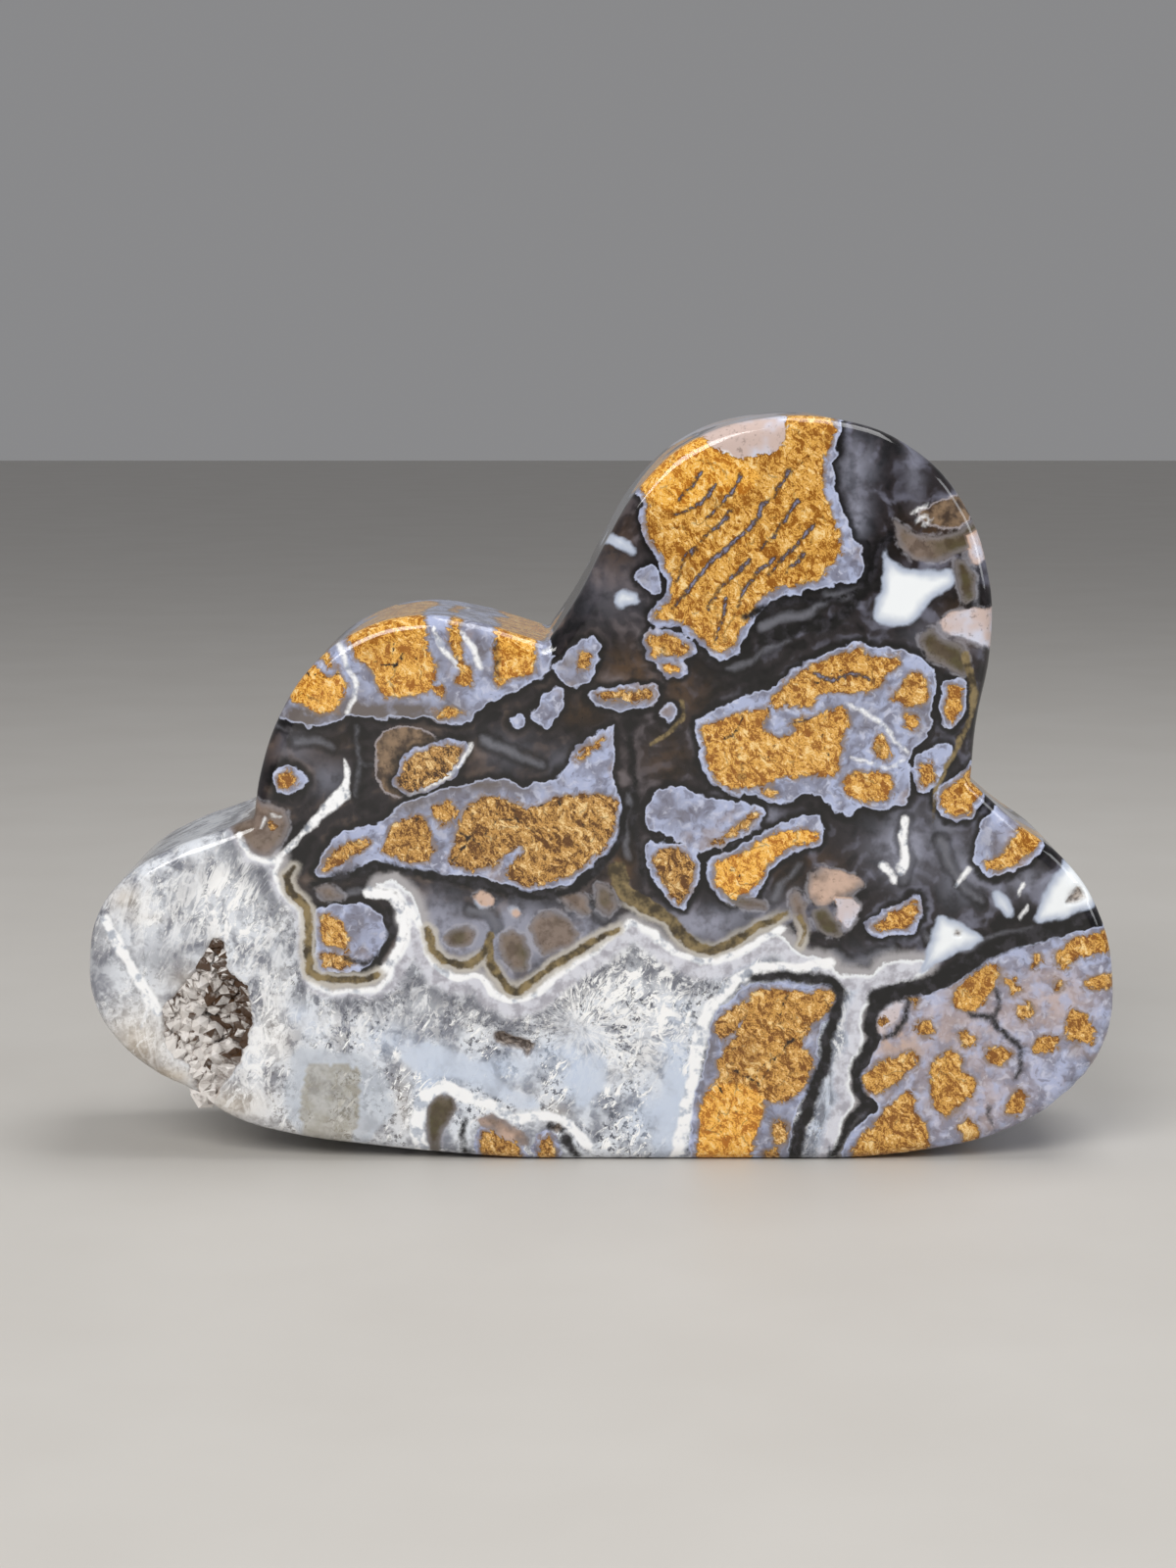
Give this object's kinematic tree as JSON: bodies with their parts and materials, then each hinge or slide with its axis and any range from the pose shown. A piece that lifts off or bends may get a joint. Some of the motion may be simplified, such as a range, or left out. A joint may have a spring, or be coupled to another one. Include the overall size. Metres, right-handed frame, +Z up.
{
  "type": "brecciated jasper",
  "caption": "Polished slab of brecciated jasper cut as a freestanding cloud, ochre clasts in blue-grey agate and clear quartz with an open crystal-lined hollow.",
  "frame": {"origin": "bottom centre of the box, in the plane of the flat that the stone stands on, midway between its two broad faces", "axes": "+X along the stone's longest side, to the right as its best face is seen; +Y through its thickness, away from that face; +Z up"},
  "size_m": [0.0706, 0.016, 0.0512],
  "materials": {
    "polished_breccia": "polished chalcedony and jasper, ochre clasts with lavender-grey rims in smoky black matrix, white quartz at the lower left",
    "smoky_quartz": "small see-through quartz points, taupe to pale pinkish white"
  },
  "bodies": {
    "root": {"polished_stone": "polished_breccia", "crystal_crust": "smoky_quartz"}
  },
  "joints": []
}
